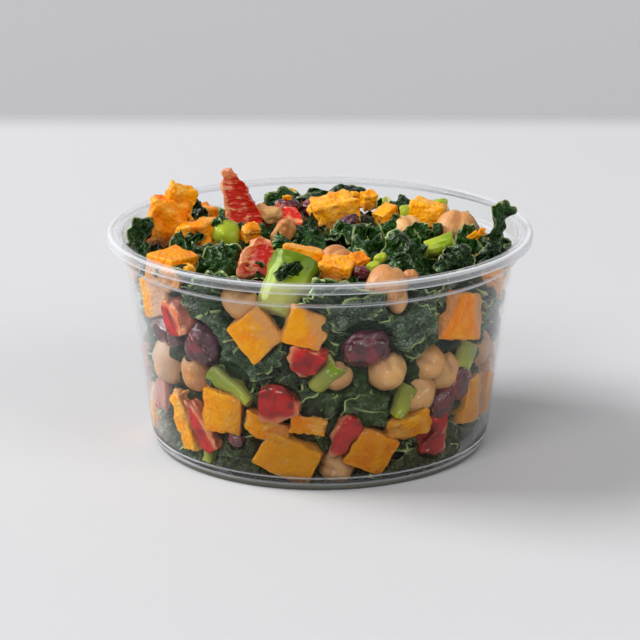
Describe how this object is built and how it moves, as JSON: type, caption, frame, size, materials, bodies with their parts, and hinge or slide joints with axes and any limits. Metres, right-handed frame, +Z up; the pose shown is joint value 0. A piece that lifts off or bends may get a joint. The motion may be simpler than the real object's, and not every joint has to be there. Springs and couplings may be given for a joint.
{
  "type": "butternut squash kale salad",
  "caption": "Clear round deli cup heaped with kale, butternut squash cubes, chickpeas, dried cranberries, red pepper and chopped green stalks.",
  "frame": {"origin": "middle of the cup's foot, on the surface that it stands on", "axes": "+Z up out of the cup, -Y towards the viewer of the picture, +X to the viewer's right"},
  "size_m": [0.117, 0.117, 0.073],
  "materials": {
    "cup": "clear thin-walled plastic, glossy outside, faint haze",
    "kale": "dark green crinkled leaf, lightly dressed with oil",
    "squash": "moist cut squash flesh",
    "chickpea": "cooked chickpea skin, satin",
    "pepper": "glossy red pepper skin",
    "cranberry": "wrinkled dried cranberry skin, glossy",
    "stem": "moist green stalk"
  },
  "bodies": {
    "root": {"chickpea_1": "chickpea", "chickpea_2": "chickpea", "chickpea_3": "chickpea", "chickpea_4": "chickpea", "cranberry_1": "cranberry", "cranberry_2": "cranberry", "cranberry_3": "cranberry", "cup": "cup", "pepper_1": "pepper", "pepper_2": "pepper", "pepper_3": "pepper", "salad": "kale", "squash_1": "squash", "squash_10": "squash", "squash_2": "squash", "squash_3": "squash", "squash_4": "squash", "squash_5": "squash", "squash_6": "squash", "squash_7": "squash", "squash_8": "squash", "squash_9": "squash", "stem_1": "stem", "stem_2": "stem", "stem_3": "stem", "stem_4": "stem"}
  },
  "joints": []
}
